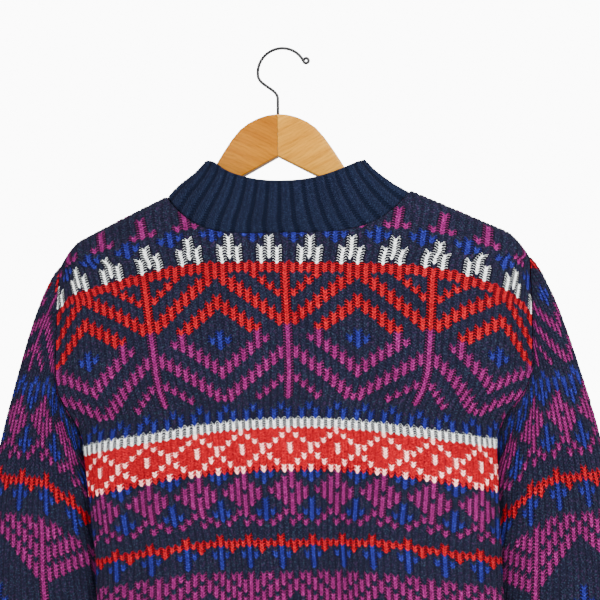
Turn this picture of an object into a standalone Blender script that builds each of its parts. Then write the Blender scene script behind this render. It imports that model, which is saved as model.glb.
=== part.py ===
"""Chunky fair isle jumper hanging on a contoured wooden coat hanger, in metres, +Z up.

The origin is the inside top of the hook, where a rail would hold it. The back of the jumper
faces -Y and the wearer's left is at -X. Every knitted piece is a closed wall: a plain inside,
with the ribs of collar, cuffs and hem raised on the outside only.
"""

import math
from collections import namedtuple

import bmesh
import bpy
from mathutils import Vector

# Cloth
WALL = 0.004  # two yarns carried behind each other make a thick fabric
RIB_WALL = 0.0032  # single-yarn rib fabric at the valleys
RIB_RISE = 0.0018  # how far a rib stands above its valleys
INNER_EDGE_LIFT = 0.0016  # a band's inner edge is turned back this far from its seam
SEAM = 0.0003  # space between pieces that touch
SEAM_GAP = SEAM / 2

# How the garment hangs
TILT = math.radians(0.6)  # the whole thing hangs a little lower on the wearer's left
GARMENT_X = 0.004  # centre line of the jumper
HANGER_X = -0.0045  # centre line of the hanger and the hook's stem
CONTOUR = 0.036  # how far the shoulders come forward, at CONTOUR_X from the centre
CONTOUR_X = 0.21

# Neck and shoulders
NECK_X = 0.127  # half width of the neck opening at the shoulder line
NECK_Z = -0.148
BACK_NECK_DROP = 0.0455
FRONT_NECK_DROP = 0.085
SHOULDER_SLOPE = 0.411
HANGER_TIP_X = 0.2236  # the cloth droops past the end of the hanger's arm
DROOP = 26.0  # metres of extra drop for each square metre past the tip
FOLD_RADIUS = 0.013  # outside radius of the fold over the hanger's arm

# Body below the shoulders
UNDERARM_Z = -0.405
ARMHOLE_CLOSE = 0.05  # height over which front and back come together at the underarm
HEM_SEAM_Z = -0.712
HEM_Z = -0.775
ROW_ARCH = 0.024  # a knitted row is this much higher in the middle than at the sides
HEM_ARCH = 0.012
BACK_DEPTH = 0.038
FRONT_DEPTH = 0.043
DEPTH_LENGTH = 0.08  # length over which the body gains its depth below the shoulder
SIDE_ROUNDING = 0.36  # exponent of the rounded side edges

# Half width on the wearer's right, and how much wider it is on the left
BodySection = namedtuple("BodySection", "z half_width left_extra")
BODY_SECTIONS = (
    BodySection(-0.300, 0.2485, 0.0000),
    BodySection(-0.335, 0.2470, 0.0012),
    BodySection(-0.352, 0.2410, 0.0040),
    BodySection(-0.370, 0.2275, 0.0080),
    BodySection(-0.388, 0.2150, 0.0115),
    BodySection(-0.405, 0.2110, 0.0125),
    BodySection(-0.450, 0.2120, 0.0060),
    BodySection(-0.530, 0.2145, -0.0060),
    BodySection(-0.620, 0.2165, -0.0100),
    BodySection(HEM_SEAM_Z, 0.2130, -0.0090),
    BodySection(HEM_Z, 0.2065, -0.0080),
)

# Soft vertical folds pressed into a panel, from z_top down to the hem
Fold = namedtuple("Fold", "panel x_top x_bottom z_top half_width depth")
FOLDS = (
    Fold("back", 0.046, 0.050, -0.40, 0.030, 0.010),
    Fold("back", -0.160, -0.165, -0.38, 0.026, 0.007),
    Fold("back", -0.062, -0.070, -0.52, 0.034, 0.004),
    Fold("front", -0.050, -0.058, -0.36, 0.034, 0.009),
    Fold("front", 0.090, 0.104, -0.42, 0.030, 0.007),
    Fold("front", -0.150, -0.158, -0.50, 0.028, 0.005),
)

# Sleeve rings from the armhole to the cuff: outer and inner edge, half depth, place in depth
SleeveRing = namedtuple("SleeveRing", "outer_x outer_z inner_x inner_z half_depth y roundness")
SLEEVE_RINGS = (
    SleeveRing(0.2600, -0.230, 0.2140, -0.4110, 0.030, 0.0450, 0.25),
    SleeveRing(0.2790, -0.272, 0.2138, -0.4200, 0.031, 0.0485, 0.50),
    SleeveRing(0.3010, -0.338, 0.2104, -0.4350, 0.032, 0.0555, 0.85),
    SleeveRing(0.3190, -0.402, 0.2076, -0.4600, 0.032, 0.0590, 1.0),
    SleeveRing(0.3320, -0.465, 0.2080, -0.4980, 0.031, 0.0590, 1.0),
    SleeveRing(0.3430, -0.532, 0.2100, -0.5500, 0.030, 0.0580, 1.0),
    SleeveRing(0.3500, -0.596, 0.2145, -0.6060, 0.029, 0.0575, 1.0),
    SleeveRing(0.3530, -0.652, 0.2230, -0.6600, 0.028, 0.0570, 1.0),
    SleeveRing(0.3490, -0.684, 0.2330, -0.6920, 0.026, 0.0560, 1.0),
    SleeveRing(0.3400, -0.700, 0.2440, -0.7080, 0.023, 0.0550, 1.0),
)
CUFF_RINGS = (
    SleeveRing(0.3400, -0.7005, 0.2440, -0.7085, 0.0230, 0.055, 1.0),
    SleeveRing(0.3400, -0.7330, 0.2460, -0.7410, 0.0225, 0.054, 1.0),
    SleeveRing(0.3410, -0.7640, 0.2480, -0.7720, 0.0230, 0.053, 1.0),
)

# Collar rings above the neck seam, up to the top edge
CollarRing = namedtuple("CollarRing", "side_x side_z back_y back_z front_y front_z bow")
COLLAR_RINGS = (
    CollarRing(0.1110, -0.1440, -0.0310, -0.1835, 0.0390, -0.2230, 3.6),
    CollarRing(0.1005, -0.1375, -0.0325, -0.1735, 0.0405, -0.2130, 3.2),
    CollarRing(0.0915, -0.1295, -0.0335, -0.1635, 0.0415, -0.2030, 2.8),
    CollarRing(0.0850, -0.1220, -0.0340, -0.1535, 0.0420, -0.1930, 2.5),
    CollarRing(0.0812, -0.1165, -0.0345, -0.1436, 0.0420, -0.1830, 2.2),
)

COLLAR_ROUNDING = 0.34  # exponent of the rounded ends, where it lies over the hanger's arms

# Ribs all round each band
COLLAR_RIBS = 36
CUFF_RIBS = 20
HEM_RIBS = 64
RIB_STEPS = ((0.00, 0.0), (0.14, 1.0), (0.50, 1.0), (0.64, 0.0))  # (share of a pitch, rise)

# Hanger, measured from its own centre line
HANGER_THICK = 0.012
HANGER_BEVEL = 0.0028
JOINT_GAP = SEAM
WoodSection = namedtuple("WoodSection", "x top bottom")
WOOD_SECTIONS = (
    WoodSection(0.000, -0.0680, -0.1118),
    WoodSection(0.010, -0.0689, -0.1171),
    WoodSection(0.020, -0.0718, -0.1224),
    WoodSection(0.030, -0.0766, -0.1277),
    WoodSection(0.039, -0.0832, -0.1323),
    WoodSection(0.047, -0.0925, -0.1362),
    WoodSection(0.055, -0.1040, -0.1398),
    WoodSection(0.063, -0.1165, -0.1432),
    WoodSection(0.071, -0.1300, -0.1470),
    WoodSection(0.080, -0.1400, -0.1514),
    WoodSection(0.092, -0.1475, -0.1574),
    WoodSection(0.110, -0.1555, -0.1660),
    WoodSection(0.140, -0.1675, -0.1800),
    WoodSection(0.170, -0.1790, -0.1930),
    WoodSection(0.200, -0.1907, -0.2055),
    WoodSection(0.218, -0.1990, -0.2125),
    WoodSection(0.225, -0.2050, -0.2120),
)

# Hook
WIRE = 0.0026  # diameter
HOOK_RADIUS = 0.0250  # centre line of the round part
HOOK_CENTRE_Z = -(HOOK_RADIUS - WIRE / 2)
HOOK_OPEN = math.radians(24)  # where the round part ends on the open side
HOOK_TURN = math.radians(222)  # where it leaves the circle for the stem
STEM_Z = -0.0676
EYE_RADIUS = 0.0026


def lookup(sections, key, value, column):
    """Column of a table at a key value, eased between the rows so that no corner shows."""
    rows = sorted(sections, key=lambda row: getattr(row, key))
    if value <= getattr(rows[0], key):
        return getattr(rows[0], column)
    for low, high in zip(rows, rows[1:]):
        start, end = getattr(low, key), getattr(high, key)
        if value <= end:
            share = (value - start) / (end - start)
            return getattr(low, column) * (1 - share) + getattr(high, column) * share
    return getattr(rows[-1], column)


def smooth(share):
    share = min(max(share, 0.0), 1.0)
    return share * share * (3 - 2 * share)


def contour(x):
    """How far forward the shoulders and the hanger's arms are at x."""
    return CONTOUR * (x / CONTOUR_X) ** 2


def shoulder_z(x):
    """Ridge of the shoulders at a distance x from the garment's centre line. Inside the neck
    opening it goes on as the ridge that the cloth would have there."""
    x = abs(x)
    past_tip = max(x - HANGER_TIP_X, 0.0)
    return NECK_Z - SHOULDER_SLOPE * (x - NECK_X) - DROOP * past_tip**2


def neck_z(x, panel):
    drop, power = (BACK_NECK_DROP, 4.0) if panel == "back" else (FRONT_NECK_DROP, 2.6)
    return NECK_Z - drop * (1 - (abs(x) / NECK_X) ** power)


def panel_depth(below_ridge, panel, inset):
    """Distance of a panel from the middle of the body: a round fold over the arm, then fuller."""
    full = (BACK_DEPTH if panel == "back" else FRONT_DEPTH) - inset
    radius = FOLD_RADIUS - inset
    over = 1 - min(below_ridge, radius) / radius
    fuller = 1 - math.exp(-max(below_ridge - radius, 0.0) / DEPTH_LENGTH)
    return radius * math.sqrt(max(1 - over * over, 0.0)) + (full - radius) * fuller


def fold_depth(panel, x, z):
    total = 0.0
    for fold in FOLDS:
        if fold.panel != panel or z > fold.z_top:
            continue
        down = (fold.z_top - z) / (fold.z_top - HEM_Z)
        middle = fold.x_top + (fold.x_bottom - fold.x_top) * down
        across = min(abs(x - middle) / fold.half_width, 1.0)
        total += fold.depth * smooth(down * 3) * 0.5 * (1 + math.cos(math.pi * across))
    return total


ACROSS_NECK, ACROSS_SHOULDER = 8, 7  # columns from the centre to the neck point and on to the side
FOLD_ROWS, ARMHOLE_ROWS, LOWER_ROWS = 3, 7, 9


def across_shares():
    """Columns of a panel as shares of its half width, closer at the neck point and the side."""
    neck = NECK_X / BODY_SECTIONS[0].half_width
    half = [neck * math.sin(math.pi / 2 * i / ACROSS_NECK) for i in range(ACROSS_NECK + 1)]
    for i in range(1, ACROSS_SHOULDER + 1):
        share = i / ACROSS_SHOULDER
        half.append(neck + (1 - neck) * (0.4 * share + 0.6 * math.sin(share * math.pi / 2)))
    return [-share for share in reversed(half[1:])] + half


def panel_heights(share, panel, inset):
    """Heights of one column of a panel, from its top edge to the hem seam."""
    x = share * BODY_SECTIONS[0].half_width
    ridge = shoulder_z(x) - inset
    top = min(ridge, neck_z(x, panel)) if abs(x) < NECK_X else ridge
    radius = FOLD_RADIUS - inset
    arched = 1 - share * share
    underarm = UNDERARM_Z + ROW_ARCH * arched
    hem = HEM_SEAM_Z + HEM_ARCH * arched
    heights = []
    for i in range(FOLD_ROWS + 1):
        turn = math.pi / 2 * i / FOLD_ROWS
        heights.append(top - radius * (1 - math.cos(turn)))
    start = heights[-1]
    for i in range(1, ARMHOLE_ROWS + 1):
        eased = 1 - (1 - i / ARMHOLE_ROWS) ** 1.3
        heights.append(start + (underarm - start) * eased)
    for i in range(1, LOWER_ROWS + 1):
        heights.append(underarm + (hem - underarm) * i / LOWER_ROWS)
    return heights


def half_width(z, side):
    extra = lookup(BODY_SECTIONS, "z", z, "left_extra") if side < 0 else 0.0
    return lookup(BODY_SECTIONS, "z", z, "half_width") + extra


def closing(share, z):
    """0 where the armhole is open, 1 where front and back meet at the side."""
    underarm = UNDERARM_Z + ROW_ARCH * (1 - share * share)
    return 1 - smooth((z - underarm) / ARMHOLE_CLOSE)


def body_point(share, z, panel, inset=0.0):
    """Point of a panel, in the hanging frame before the tilt."""
    closed = closing(share, z)
    x = share * (half_width(z, share) - inset * closed)
    below = max(shoulder_z(x) - inset - z, 0.0)
    rounded = (1 - share * share) ** SIDE_ROUNDING
    offset = panel_depth(below, panel, inset) * (1 - closed + closed * rounded)
    offset = max(offset - fold_depth(panel, x, z) * rounded, 0.0)
    side = -1 if panel == "back" else 1
    return Vector((GARMENT_X + x, contour(GARMENT_X + x) + side * (offset + SEAM_GAP), z))


def panel_grid(panel, inset):
    columns = []
    for share in across_shares():
        heights = panel_heights(share, panel, inset)
        columns.append([body_point(share, z, panel, inset) for z in heights])
    return [list(row) for row in zip(*columns)]


def wall_object(name, outer, inner, closed, finish):
    """Closed wall between an outer and an inner grid of points. closed joins each row's ends."""
    bm = bmesh.new()
    layers = [[[bm.verts.new(point) for point in row] for row in grid] for grid in (outer, inner)]
    rows, count = len(outer), len(outer[0])
    around = range(count if closed else count - 1)
    for layer in layers:
        for low, high in zip(layer, layer[1:]):
            for i in around:
                j = (i + 1) % count
                bm.faces.new((low[i], low[j], high[j], high[i]))
    for row in (0, rows - 1):
        for i in around:
            j = (i + 1) % count
            out, ins = layers[0][row], layers[1][row]
            bm.faces.new((out[i], out[j], ins[j], ins[i]))
    if not closed:
        for column in (0, count - 1):
            for row in range(rows - 1):
                edge = [layer[row + k][column] for layer, k in zip(layers + layers[::-1], (0, 0, 1, 1))]
                bm.faces.new(edge)
    bmesh.ops.recalc_face_normals(bm, faces=bm.faces)
    mesh = bpy.data.meshes.new(name)
    bm.to_mesh(mesh)
    bm.free()
    mesh.shade_smooth()
    mesh.set_sharp_from_angle(angle=math.radians(40))
    return add_object(name, mesh, finish)


def add_object(name, data, finish):
    obj = bpy.data.objects.new(name, data)
    obj.data.materials.append(finish)
    garment.objects.link(obj)
    obj.parent = hang_point
    return obj


def material(name, colour, roughness, metallic=0.0):
    mat = bpy.data.materials.new(name)
    mat.use_nodes = True
    shader = mat.node_tree.nodes["Principled BSDF"]
    shader.inputs["Base Color"].default_value = (*colour, 1.0)
    shader.inputs["Roughness"].default_value = roughness
    shader.inputs["Metallic"].default_value = metallic
    mat.diffuse_color = (*colour, 1.0)
    return mat


def along_line(points, shares):
    """Points on an open line at the given shares of its length."""
    reached = [0.0]
    for a, b in zip(points, points[1:]):
        reached.append(reached[-1] + (b - a).length)
    placed, k = [], 0
    for share in shares:
        target = share * reached[-1]
        while reached[k + 1] < target:
            k += 1
        step = (target - reached[k]) / (reached[k + 1] - reached[k])
        placed.append(points[k].lerp(points[k + 1], step))
    return placed


def ribbed_band(name, loops, ribs, finish):
    """Band of rib fabric on closed lines, given in order from one edge to the other. Each line is
    a back half and a front half, and each half takes half of the ribs."""
    half = ribs // 2
    shares = [(rib + place) / half for rib in range(half) for place, _ in RIB_STEPS]
    rows = [[point for line in loop for point in along_line(line, shares)] for loop in loops]
    count = len(rows[0])
    centre = sum(rows[0], Vector()) / count
    outer, inner = [], []
    for r, row in enumerate(rows):
        below, above = rows[max(r - 1, 0)], rows[min(r + 1, len(rows) - 1)]
        normals = []
        for i in range(count):
            along = row[(i + 2) % count] - row[i - 2]
            normal = along.cross(above[i] - below[i])
            if r == 0:
                normal.z = 0.0
            normals.append(normal.normalized())
        outward = sum(normal.dot(point - centre) for normal, point in zip(normals, row))
        out_row, in_row = [], []
        for i, (point, normal) in enumerate(zip(row, normals)):
            normal = normal if outward > 0 else -normal
            rise = RIB_STEPS[i % len(RIB_STEPS)][1] * RIB_RISE
            out_row.append(point - normal * (RIB_RISE - rise))
            inside = point - normal * (RIB_RISE + RIB_WALL)
            if r == 0:
                inside += (above[i] - point).normalized() * INNER_EDGE_LIFT
            in_row.append(inside)
        outer.append(out_row)
        inner.append(in_row)
    return wall_object(name, outer, inner, True, finish)


def armhole_loop(side):
    """Edge of the armhole from the shoulder down the back to the underarm and up the front, as
    (share of the way down, straight-line offset, half gap), which the sleeve's first ring takes."""
    heights = panel_heights(1.0, "back", 0.0)[: FOLD_ROWS + ARMHOLE_ROWS + 1]
    top, bottom = heights[0], heights[-1]
    top_x, bottom_x = half_width(top, side), half_width(bottom, side)
    loop = []
    for panel, levels in (("back", heights), ("front", heights[-2:0:-1])):
        for z in levels:
            point = body_point(side, z, panel)
            down = (top - z) / (top - bottom)
            straight = top_x + (bottom_x - top_x) * down
            bulge = half_width(z, side) - straight
            loop.append((down, bulge, point.y - contour(point.x)))
    return loop


def sleeve_ring(side, ring, loop, inset):
    """Ring of a sleeve between its outer and inner edge."""
    extra = half_width(ring.inner_z, side) - half_width(ring.inner_z, 1)
    outer = Vector((ring.outer_x, 0.0, ring.outer_z))
    inner = Vector((ring.inner_x + extra, 0.0, ring.inner_z))
    middle, half = (outer + inner) / 2, (outer - inner) / 2
    shrink = (half.length - inset) / half.length
    widest = max(abs(gap) for _, _, gap in loop)
    points = []
    for k, (down, bulge, gap) in enumerate(loop):
        place = middle + half * ((1 - 2 * down) * shrink)
        turn = math.acos(min(max(1 - 2 * down, -1.0), 1.0))
        round_gap = math.sin(turn) * (1 if gap > 0 else -1)
        depth = gap / widest * (1 - ring.roundness) + round_gap * ring.roundness
        x = place.x + bulge * (1 - ring.roundness)
        y = ring.y + depth * (ring.half_depth - inset)
        points.append(Vector((GARMENT_X + side * x, y, place.z)))
    return points


def armhole_ring(side, loop, inset):
    """First ring of the sleeve, the armhole's own edge moved out by a seam's width."""
    top, bottom = shoulder_z(BODY_SECTIONS[0].half_width), UNDERARM_Z
    middle, half = (top + bottom) / 2, (top - bottom) / 2
    widest = max(abs(gap) for _, _, gap in loop)
    points = []
    for down, _, gap in loop:
        z = middle + (half - inset) * (1 - 2 * down)
        x = GARMENT_X + side * (half_width(z, side) + SEAM * 2)
        points.append(Vector((x, contour(x) + gap * (widest - inset) / widest, z)))
    return points


def build_sleeve(side, name, finish):
    loop = armhole_loop(side)
    grids = []
    for inset in (0.0, WALL):
        rings = [sleeve_ring(side, ring, loop, inset) for ring in SLEEVE_RINGS]
        grids.append([armhole_ring(side, loop, inset)] + rings)
    return wall_object(name, grids[0], grids[1], True, finish)


def oval(side, ring, count=40):
    """Oval ring of a cuff as its back half, from the outer to the inner edge, and front half."""
    extra = half_width(CUFF_RINGS[0].inner_z, side) - half_width(CUFF_RINGS[0].inner_z, 1)
    outer = Vector((ring.outer_x, 0.0, ring.outer_z))
    inner = Vector((ring.inner_x + extra, 0.0, ring.inner_z))
    middle, half = (outer + inner) / 2, (outer - inner) / 2
    halves = []
    for start in (0.0, math.pi):
        line = []
        for i in range(count + 1):
            turn = start + math.pi * i / count
            place = middle + half * math.cos(turn)
            y = ring.y - ring.half_depth * math.sin(turn)
            line.append(Vector((GARMENT_X + side * place.x, y, place.z)))
        halves.append(line)
    return halves


def hem_loop(level, count=140):
    """Line round the body at the hem, level at the sides and higher in the middle."""
    halves = []
    for panel, direction in (("back", 1), ("front", -1)):
        line = []
        for i in range(count + 1):
            share = direction * math.sin(math.pi * (i / count - 0.5))
            z = level + HEM_ARCH * (1 - share * share)
            line.append(body_point(share, z, panel))
        halves.append(line)
    return halves


def neck_loop():
    """Line just above the panels' neck edge."""
    halves = []
    for panel, direction in (("back", 1), ("front", -1)):
        line = []
        for share in across_shares():
            x = share * BODY_SECTIONS[0].half_width
            if abs(x) < NECK_X + 1e-6:
                point = body_point(direction * share, neck_z(x, panel), panel)
                line.append(point + Vector((0.0, 0.0, SEAM)))
        halves.append(line)
    return halves


def collar_loop(ring, count=40):
    """Line of the collar: the back half from left to right, then the front half."""
    halves = []
    sides = ((1, ring.back_y, ring.back_z), (-1, ring.front_y, ring.front_z))
    for direction, centre_y, centre_z in sides:
        line = []
        for i in range(count + 1):
            share = direction * math.sin(math.pi * (i / count - 0.5))
            x = GARMENT_X + share * ring.side_x
            blunt = max(1 - share * share, 0.0) ** COLLAR_ROUNDING
            y = contour(x) + (centre_y - contour(GARMENT_X)) * blunt
            bow = 1 - abs(share) ** ring.bow
            line.append(Vector((x, y, ring.side_z + (centre_z - ring.side_z) * bow)))
        halves.append(line)
    return halves


def build_hanger_half(side, name, finish):
    """One half of the wooden hanger: a curved board along the shoulders with softened edges."""
    bpy.ops.mesh.primitive_grid_add(x_subdivisions=len(WOOD_SECTIONS) - 1, y_subdivisions=1, size=2)
    board = bpy.context.object
    columns = sorted({round(vert.co.x, 5) for vert in board.data.vertices})
    for vert in board.data.vertices:
        section = WOOD_SECTIONS[columns.index(round(vert.co.x, 5))]
        x = HANGER_X + side * (section.x + JOINT_GAP / 2)
        vert.co = (x, contour(x), section.top if vert.co.y > 0 else section.bottom)
    if side < 0:
        board.data.flip_normals()
    thicken = board.modifiers.new("thickness", "SOLIDIFY")
    thicken.thickness, thicken.offset = HANGER_THICK, 0.0
    soften = board.modifiers.new("softened edges", "BEVEL")
    soften.width, soften.segments, soften.limit_method = HANGER_BEVEL, 2, "ANGLE"
    soften.angle_limit = math.radians(50)
    board.name = board.data.name = name
    board.data.materials.append(finish)
    for collection in board.users_collection:
        collection.objects.unlink(board)
    garment.objects.link(board)
    board.parent = hang_point
    return board


def hook_route():
    """Centre line of the wire, from the wood up the stem, round the hook and into its eye."""
    centre = Vector((0.0, 0.0, HOOK_CENTRE_Z))
    stem_x = HANGER_X
    route = [Vector((stem_x, 0.0, STEM_Z + SEAM)), Vector((stem_x, 0.0, -0.0530))]
    route += [Vector((stem_x - 0.0003, 0.0, -0.0495)), Vector((stem_x - 0.0021, 0.0, -0.0462))]
    route += [Vector((stem_x - 0.0056, 0.0, -0.0434)), Vector((stem_x - 0.0098, 0.0, -0.0404))]
    turns = 20
    for i in range(turns + 1):
        angle = HOOK_TURN + (HOOK_OPEN - HOOK_TURN) * i / turns
        reach = Vector((math.cos(angle), 0.0, math.sin(angle)))
        route.append(centre + reach * HOOK_RADIUS)
    eye_centre = route[-1] + Vector((math.cos(HOOK_OPEN), 0.0, math.sin(HOOK_OPEN))) * EYE_RADIUS
    for i in range(1, 9):
        angle = HOOK_OPEN + math.pi + math.radians(30) * i
        route.append(eye_centre + Vector((math.cos(angle), 0.0, math.sin(angle))) * EYE_RADIUS)
    return route


def build_hook(finish):
    curve = bpy.data.curves.new("hook", "CURVE")
    curve.dimensions = "3D"
    curve.bevel_depth, curve.bevel_resolution, curve.use_fill_caps = WIRE / 2, 2, True
    spline = curve.splines.new("POLY")
    route = hook_route()
    spline.points.add(len(route) - 1)
    for point, place in zip(spline.points, route):
        point.co = (*place, 1.0)
    hook = add_object("hook", curve, finish)
    hook.modifiers.new("joined ends", "WELD").merge_threshold = 0.00002
    return hook


for leftover in list(bpy.data.objects):
    bpy.data.objects.remove(leftover, do_unlink=True)

garment = bpy.data.collections.new("fair_isle_jumper")
bpy.context.scene.collection.children.link(garment)
hang_point = bpy.data.objects.new("hang_point", None)
hang_point.rotation_euler.y = -TILT
garment.objects.link(hang_point)

knit = material("navy_stranded_knit", (0.013, 0.019, 0.055), 0.9)
rib_knit = material("navy_rib_knit", (0.016, 0.022, 0.072), 0.9)
wood = material("varnished_wood", (0.60, 0.33, 0.10), 0.35)
steel = material("dark_wire", (0.03, 0.03, 0.03), 0.35, 0.9)

for panel in ("back", "front"):
    wall_object(panel, panel_grid(panel, 0.0), panel_grid(panel, WALL), False, knit)
for side, place in ((-1, "left"), (1, "right")):
    build_sleeve(side, f"sleeve_{place}", knit)
    ribbed_band(f"cuff_{place}", [oval(side, ring) for ring in CUFF_RINGS], CUFF_RIBS, rib_knit)
    build_hanger_half(side, f"hanger_{place}", wood)
collar_loops = [neck_loop()] + [collar_loop(ring) for ring in COLLAR_RINGS]
ribbed_band("collar", collar_loops, COLLAR_RIBS, rib_knit)
hem_loops = [hem_loop(HEM_SEAM_Z - SEAM), hem_loop(HEM_Z)]
ribbed_band("hem_rib", hem_loops, HEM_RIBS, rib_knit)
build_hook(steel)
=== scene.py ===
import math

import bpy
import numpy as np
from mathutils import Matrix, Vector


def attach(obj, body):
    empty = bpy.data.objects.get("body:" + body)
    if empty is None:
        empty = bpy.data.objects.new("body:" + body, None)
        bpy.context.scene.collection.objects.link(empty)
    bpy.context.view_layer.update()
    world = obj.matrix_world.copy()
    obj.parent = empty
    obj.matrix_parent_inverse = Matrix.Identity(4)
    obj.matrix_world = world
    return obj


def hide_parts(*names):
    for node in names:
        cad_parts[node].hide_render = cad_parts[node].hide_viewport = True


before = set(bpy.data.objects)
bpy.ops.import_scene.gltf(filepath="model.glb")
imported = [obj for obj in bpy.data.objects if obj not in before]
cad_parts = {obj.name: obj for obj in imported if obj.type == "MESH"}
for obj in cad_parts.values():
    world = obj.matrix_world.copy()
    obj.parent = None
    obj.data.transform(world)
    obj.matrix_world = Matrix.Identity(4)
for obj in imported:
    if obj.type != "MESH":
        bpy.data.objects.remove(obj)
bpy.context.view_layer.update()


# --- Camera -------------------------------------------------------------------------------
# A long lens looks at the back of the jumper, a little from its right side and slightly up.
# The sleeves run out of the picture at both sides, and the body below the second wide band.
camera_data = bpy.data.cameras.new("camera")
camera_data.sensor_width, camera_data.lens = 36.0, 82.2
camera_data.shift_y = 0.0765
camera = bpy.data.objects.new("camera", camera_data)
CAMERA_DISTANCE, CAMERA_HEIGHT = 1.40, -0.37
camera_angle = math.radians(6.0)
camera.location = (
    CAMERA_DISTANCE * math.sin(camera_angle),
    -CAMERA_DISTANCE * math.cos(camera_angle),
    CAMERA_HEIGHT,
)
camera.rotation_euler = (math.radians(92.6), 0.0, math.radians(5.224))
bpy.context.scene.collection.objects.link(camera)
bpy.context.scene.camera = camera


# --- Hook ---------------------------------------------------------------------------------
# Round spring-steel wire, dark plated and drawn smooth. It is bent round a former into an
# open hook that ends in a small eye, and its straight stem is screwed into the wood.
TILT = math.radians(0.6)  # the whole thing hangs a little lower on the wearer's left
HANGER_X = -0.0045  # the hanger's middle lies a little left of the hook's round part
WIRE = 0.0026
HOOK_RADIUS = 0.0250
HOOK_CENTRE_Z = -(HOOK_RADIUS - WIRE / 2)
HOOK_OPEN, HOOK_TURN = math.radians(24), math.radians(188)
EYE_RADIUS = 0.0026
STEM_ROUTE = (-0.0673, -0.0620, -0.0570, -0.0510)  # heights up the stem, to where it bends
BEND_PULL_STEM, BEND_PULL_RING = 0.0100, (0.0014, -0.0100)  # how far the bend runs on straight
BEND_END = 0.93


def hang(points):
    """Points of the level garment, turned by the small tilt that it hangs with."""
    points = np.asarray(points, float)
    x, y, z = points[..., 0], points[..., 1], points[..., 2]
    cos, sin = math.cos(TILT), math.sin(TILT)
    return np.stack((x * cos - z * sin, y, z * cos + x * sin), axis=-1)


def only(obj):
    """Makes obj the one selected, active object."""
    bpy.ops.object.select_all(action="DESELECT")
    obj.select_set(True)
    bpy.context.view_layer.objects.active = obj


def weld(obj, distance):
    """Merges points that lie together and turns the faces outwards."""
    only(obj)
    bpy.ops.object.mode_set(mode="EDIT")
    bpy.ops.mesh.select_all(action="SELECT")
    bpy.ops.mesh.remove_doubles(threshold=distance)
    bpy.ops.mesh.normals_make_consistent(inside=False)
    bpy.ops.object.mode_set(mode="OBJECT")


def round_points(x, z, radius, angles):
    return [(x + radius * math.cos(angle), z + radius * math.sin(angle)) for angle in angles]


def hook_route():
    stem, top = HANGER_X, STEM_ROUTE[-1]
    route = [(stem, z) for z in STEM_ROUTE[:-1]]
    ((ring_x, ring_z),) = round_points(0.0, HOOK_CENTRE_Z, HOOK_RADIUS, (HOOK_TURN,))
    for t in np.linspace(0.0, BEND_END, 12):  # the wire bends over from the stem to the ring
        a, b, c, d = (1 - t) ** 3, 3 * t * (1 - t) ** 2, 3 * t**2 * (1 - t), t**3
        x = (a + b) * stem + c * (ring_x + BEND_PULL_RING[0]) + d * ring_x
        z = a * top + b * (top + BEND_PULL_STEM) + c * (ring_z + BEND_PULL_RING[1]) + d * ring_z
        route.append((x, z))
    turn = np.linspace(HOOK_TURN, HOOK_OPEN, 36)
    route += round_points(0.0, HOOK_CENTRE_Z, HOOK_RADIUS, turn)
    ((eye_x, eye_z),) = round_points(*route[-1], EYE_RADIUS, (HOOK_OPEN,))
    turn = HOOK_OPEN + math.pi + np.radians(np.arange(20, 335, 20))
    route += round_points(eye_x, eye_z, EYE_RADIUS, turn)
    return [(x, 0.0, z) for x, z in route]


def build_hook():
    bpy.ops.object.select_all(action="DESELECT")
    bpy.ops.curve.primitive_bezier_curve_add()
    curve = bpy.context.object.data
    curve.splines.clear()
    spline = curve.splines.new("POLY")
    route = hang(hook_route())
    spline.points.add(len(route) - 1)
    for point, place in zip(spline.points, route):
        point.co = (*place, 1.0)
    curve.dimensions = "3D"
    curve.bevel_depth, curve.bevel_resolution, curve.use_fill_caps = WIRE * 0.6, 4, True
    bpy.ops.object.convert(target="MESH")
    wire = bpy.context.object
    weld(wire, 0.00002)
    wire.location = (0.0, 0.0, 0.0)
    bpy.ops.object.shade_smooth_by_angle(angle=math.radians(50))
    wire.name = "wire_hook"
    return wire


def set_inputs(tree, made, inputs):
    """Gives each named input a number or a colour, or links it to another node's output."""
    for name, value in inputs.items():
        if isinstance(value, bpy.types.NodeSocket):
            tree.links.new(value, made.inputs[name])
        else:
            made.inputs[name].default_value = value


def node(tree, kind, x=0, y=0, inputs=None, **settings):
    made = tree.nodes.new(kind)
    made.location = (x, y)
    for name, value in settings.items():
        setattr(made, name, value)
    set_inputs(tree, made, inputs or {})
    return made


def ramp(tree, factor, stops, x=0, y=0):
    """Colour from a ramp with stops given as (place, colour)."""
    made = node(tree, "ShaderNodeValToRGB", x, y, {"Fac": factor})
    elements = made.color_ramp.elements
    while len(elements) < len(stops):
        elements.new(0.5)
    for element, (place, colour) in zip(elements, stops):
        element.position = place
        element.color = (*colour, 1.0) if len(colour) == 3 else colour
    return made.outputs["Color"]


def new_material(name):
    material = bpy.data.materials.new(name)
    material.use_nodes = True
    return material, material.node_tree, material.node_tree.nodes["Principled BSDF"]


dark_wire, tree, shader = new_material("dark_plated_wire")
coords = node(tree, "ShaderNodeTexCoord", -900)
wear = node(tree, "ShaderNodeTexNoise", -700, 0, {
    "Vector": coords.outputs["Object"], "Scale": 420.0, "Detail": 5.0,
}).outputs["Fac"]
plating = ramp(tree, wear, (
    (0.35, (0.008, 0.008, 0.009)), (0.62, (0.014, 0.014, 0.015)), (0.8, (0.05, 0.05, 0.05)),
), -480)
polish = ramp(tree, wear, ((0.3, (0.26,) * 3), (0.75, (0.46,) * 3)), -480, -260)
set_inputs(tree, shader, {
    "Base Color": plating, "Roughness": polish, "Metallic": 0.30, "Specular IOR Level": 0.2,
})


def give(piece, solid):
    """Joins a finished piece to the body and hides the solid that it stands for."""
    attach(piece, "root")
    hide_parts(solid)


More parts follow.
